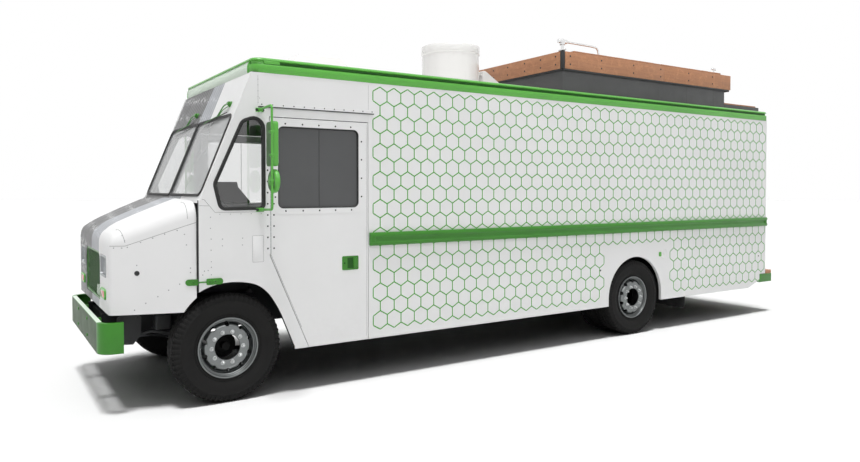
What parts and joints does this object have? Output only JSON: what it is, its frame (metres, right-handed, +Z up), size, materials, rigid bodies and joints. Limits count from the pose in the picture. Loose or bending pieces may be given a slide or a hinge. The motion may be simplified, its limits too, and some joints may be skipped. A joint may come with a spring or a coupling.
{
  "type": "food truck",
  "caption": "Step-van food truck with twin rear wheels, tilting hood, hinged cab and rear doors, an awning serving hatch on one side and a timber-clad roof deck.",
  "frame": {"origin": "on the ground, under the middle of the vehicle's box", "axes": "+X forward, +Y to the driver's (left) side, +Z up"},
  "size_m": [9.478, 3.0076, 3.665],
  "materials": {
    "paint_white": "gloss white panel paint",
    "paint_green": "satin green paint",
    "frame_black": "black chassis paint, satin",
    "engine_grey": "grey casting",
    "steel_dark": "dark primed steel",
    "wheel_metal": "brushed, slightly dusty",
    "tyre": "matt rubber",
    "glass_clear": "clear laminated",
    "glass_dark": "tinted",
    "dash_grey": "moulded, grained",
    "seat_black": "vinyl cover",
    "interior_grey": "brushed sheet",
    "lamp": "moulded lens",
    "deck_grey": "matt dark grey cladding",
    "deck_wood": "oiled timber, end grain at the joints",
    "roof_white": "satin white"
  },
  "bodies": {
    "root": {"frame_rails": "frame_black", "frame_crossmembers": "frame_black", "frame_outriggers": "frame_black", "engine_block": "engine_grey", "front_axle": "frame_black", "rear_axle": "frame_black", "driveshaft": "steel_dark", "leaf_springs": "frame_black", "fuel_tank": "steel_dark", "front_bumper": "paint_green", "rear_bumper": "paint_green", "cab_front": "paint_white", "cab_glass": "glass_clear", "dashboard": "dash_grey", "driver_seat": "seat_black", "cab_partition": "interior_grey", "floor": "interior_grey", "left_wall": "paint_white", "right_wall": "paint_white", "rear_wall": "paint_white", "rub_rails": "paint_green", "roof": "roof_white", "roof_cap": "paint_green", "deck_base": "deck_grey", "deck_skirt": "deck_wood", "roof_fan": "roof_white", "roof_vents": "roof_white", "mirrors": "paint_green"},
    "steer_knuckle_left": {"knuckle_left": "steel_dark"},
    "steer_knuckle_right": {"knuckle_right": "steel_dark"},
    "steer_tie_rod": {"tie_rod": "steel_dark"},
    "front_wheel_left": {"wheel_front_left": "wheel_metal", "tyre_front_left": "tyre"},
    "front_wheel_right": {"wheel_front_right": "wheel_metal", "tyre_front_right": "tyre"},
    "rear_wheels_left": {"wheels_rear_left": "wheel_metal", "tyres_rear_left": "tyre"},
    "rear_wheels_right": {"wheels_rear_right": "wheel_metal", "tyres_rear_right": "tyre"},
    "hood_lid": {"hood": "paint_white", "grille": "paint_green", "headlamps": "lamp"},
    "door_left": {"cab_door_left": "paint_white", "door_glass_left": "glass_dark"},
    "door_right": {"cab_door_right": "paint_white", "door_glass_right": "glass_dark"},
    "door_rear": {"rear_door": "paint_white"},
    "hatch": {"serving_hatch": "paint_white"}
  },
  "joints": [
    {"name": "steer_left", "type": "hinge", "parent": "root", "child": "steer_knuckle_left", "pos_m": [3.711, 0.8, 0.482], "axis": [0, 0, 1], "range_deg": [-30, 30]},
    {"name": "steer_right", "type": "hinge", "parent": "root", "child": "steer_knuckle_right", "pos_m": [3.711, -0.8, 0.482], "axis": [0, 0, 1], "range_deg": [-30, 30]},
    {"name": "tie_rod_pivot", "type": "hinge", "parent": "steer_knuckle_left", "child": "steer_tie_rod", "pos_m": [3.531, 0.8, 0.39], "axis": [0, 0, 1], "range_deg": [-30, 30]},
    {"name": "spin_front_left", "type": "hinge", "parent": "steer_knuckle_left", "child": "front_wheel_left", "pos_m": [3.711, 0.997, 0.482], "axis": [0, 1, 0], "continuous": true},
    {"name": "spin_front_right", "type": "hinge", "parent": "steer_knuckle_right", "child": "front_wheel_right", "pos_m": [3.711, -0.997, 0.482], "axis": [0, 1, 0], "continuous": true},
    {"name": "spin_rear_left", "type": "hinge", "parent": "root", "child": "rear_wheels_left", "pos_m": [-1.569, 0.8675, 0.482], "axis": [0, 1, 0], "continuous": true},
    {"name": "spin_rear_right", "type": "hinge", "parent": "root", "child": "rear_wheels_right", "pos_m": [-1.569, -0.8675, 0.482], "axis": [0, 1, 0], "continuous": true},
    {"name": "hood_tilt", "type": "hinge", "parent": "root", "child": "hood_lid", "pos_m": [4.611, 0, 0.8], "axis": [0, 1, 0], "range_deg": [0, 50]},
    {"name": "cab_door_left_swing", "type": "hinge", "parent": "root", "child": "door_left", "pos_m": [3.34, 1.16, 1.3], "axis": [0, 0, -1], "range_deg": [0, 75]},
    {"name": "cab_door_right_swing", "type": "hinge", "parent": "root", "child": "door_right", "pos_m": [3.34, -1.16, 1.3], "axis": [0, 0, 1], "range_deg": [0, 75]},
    {"name": "rear_door_swing", "type": "hinge", "parent": "root", "child": "door_rear", "pos_m": [-4.549, 0.434, 1.75], "axis": [0, 0, -1], "range_deg": [0, 100]},
    {"name": "hatch_swing", "type": "hinge", "parent": "root", "child": "hatch", "pos_m": [0.061, -1.16, 2.574], "axis": [-1, 0, 0], "range_deg": [0, 95]}
  ],
  "couplings": [
    {"joint": "steer_right", "follows": "steer_left", "ratio": 1},
    {"joint": "tie_rod_pivot", "follows": "steer_left", "ratio": -1}
  ]
}
